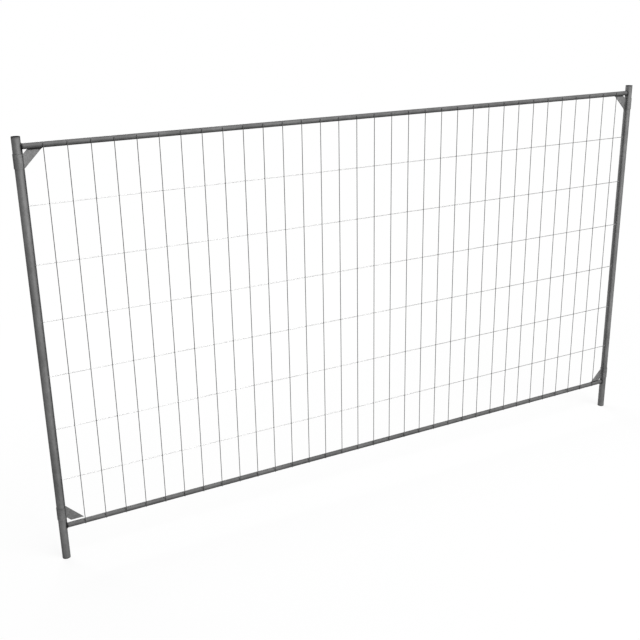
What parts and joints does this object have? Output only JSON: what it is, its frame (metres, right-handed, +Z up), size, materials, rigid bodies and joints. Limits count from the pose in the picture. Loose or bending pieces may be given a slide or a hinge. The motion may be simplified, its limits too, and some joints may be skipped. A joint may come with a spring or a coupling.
{
  "type": "temporary fence panel",
  "caption": "Welded steel site fence panel: round tube frame, wire mesh infill and folded corner gussets, with open upright ends that stand in base blocks.",
  "frame": {"origin": "on the ground, midway between the two uprights", "axes": "+X along the panel to the right, +Y from the mesh side to the back, +Z up the uprights"},
  "size_m": [3.476, 0.042, 2],
  "materials": {
    "tube": "galvanised, dull mid grey",
    "sheet": "galvanised sheet, dull mid grey",
    "wire": "galvanised drawn wire, dull dark grey",
    "cross_wire": "galvanised drawn wire, brighter than the upright ones"
  },
  "bodies": {
    "root": {"left_upright": "tube", "right_upright": "tube", "top_rail": "tube", "bottom_rail": "tube", "top_left_gusset": "sheet", "top_right_gusset": "sheet", "bottom_left_gusset": "sheet", "bottom_right_gusset": "sheet", "left_edge_wire": "wire", "right_edge_wire": "wire", "vertical_wire_01": "wire", "vertical_wire_02": "wire", "vertical_wire_03": "wire", "vertical_wire_04": "wire", "vertical_wire_05": "wire", "vertical_wire_06": "wire", "vertical_wire_07": "wire", "vertical_wire_08": "wire", "vertical_wire_09": "wire", "vertical_wire_10": "wire", "vertical_wire_11": "wire", "vertical_wire_12": "wire", "vertical_wire_13": "wire", "vertical_wire_14": "wire", "vertical_wire_15": "wire", "vertical_wire_16": "wire", "vertical_wire_17": "wire", "vertical_wire_18": "wire", "vertical_wire_19": "wire", "vertical_wire_20": "wire", "vertical_wire_21": "wire", "vertical_wire_22": "wire", "vertical_wire_23": "wire", "vertical_wire_24": "wire", "vertical_wire_25": "wire", "vertical_wire_26": "wire", "vertical_wire_27": "wire", "vertical_wire_28": "wire", "vertical_wire_29": "wire", "vertical_wire_30": "wire", "vertical_wire_31": "wire", "vertical_wire_32": "wire", "vertical_wire_33": "wire", "horizontal_wire_1": "cross_wire", "horizontal_wire_2": "cross_wire", "horizontal_wire_3": "cross_wire", "horizontal_wire_4": "cross_wire", "horizontal_wire_5": "cross_wire", "horizontal_wire_6": "cross_wire"}
  },
  "joints": []
}
